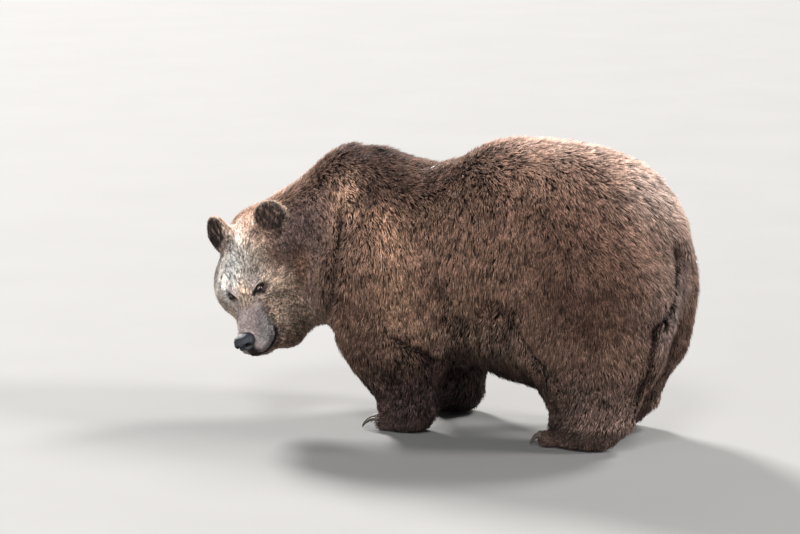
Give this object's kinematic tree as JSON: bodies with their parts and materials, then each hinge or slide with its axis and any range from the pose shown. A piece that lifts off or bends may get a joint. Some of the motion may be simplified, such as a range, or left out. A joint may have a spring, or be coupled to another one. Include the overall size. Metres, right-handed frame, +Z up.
{
  "type": "brown bear",
  "caption": "Life-size brown bear standing on four feet, its head lowered and turned to its left, with a thick shaggy coat and a high shoulder hump.",
  "frame": {"origin": "on the floor, under the middle of the animal's bounding box", "axes": "+Z up; the bear faces -Y and its left side is +X; its head is turned towards +X"},
  "size_m": [0.8763, 1.7421, 1.0169],
  "materials": {
    "coat": "mid-brown shaggy fur with paler tips",
    "coat_dark": "dark brown fur on the lower legs",
    "coat_pale": "tan to whitish short fur on the face",
    "muzzle": "very short greyish-tan fur",
    "nose": "damp pebbled black skin",
    "eye": "dark brown glossy eye",
    "claw": "dark horn"
  },
  "bodies": {
    "root": {"trunk": "coat", "neck": "coat", "head": "coat_pale", "muzzle": "muzzle", "lower_jaw": "coat_pale", "nose": "nose", "ear_left": "coat", "ear_right": "coat", "eye_left": "eye", "eye_right": "eye", "tail": "coat", "upper_arm_left": "coat", "forearm_left": "coat_dark", "forepaw_left": "coat_dark", "thigh_left": "coat", "shank_left": "coat_dark", "hindpaw_left": "coat_dark", "fore_claw_left_1": "claw", "fore_claw_left_2": "claw", "fore_claw_left_3": "claw", "fore_claw_left_4": "claw", "fore_claw_left_5": "claw", "hind_claw_left_1": "claw", "hind_claw_left_2": "claw", "hind_claw_left_3": "claw", "hind_claw_left_4": "claw", "hind_claw_left_5": "claw", "upper_arm_right": "coat", "forearm_right": "coat_dark", "forepaw_right": "coat_dark", "thigh_right": "coat", "shank_right": "coat_dark", "hindpaw_right": "coat_dark", "fore_claw_right_1": "claw", "fore_claw_right_2": "claw", "fore_claw_right_3": "claw", "fore_claw_right_4": "claw", "fore_claw_right_5": "claw", "hind_claw_right_1": "claw", "hind_claw_right_2": "claw", "hind_claw_right_3": "claw", "hind_claw_right_4": "claw", "hind_claw_right_5": "claw"}
  },
  "joints": []
}
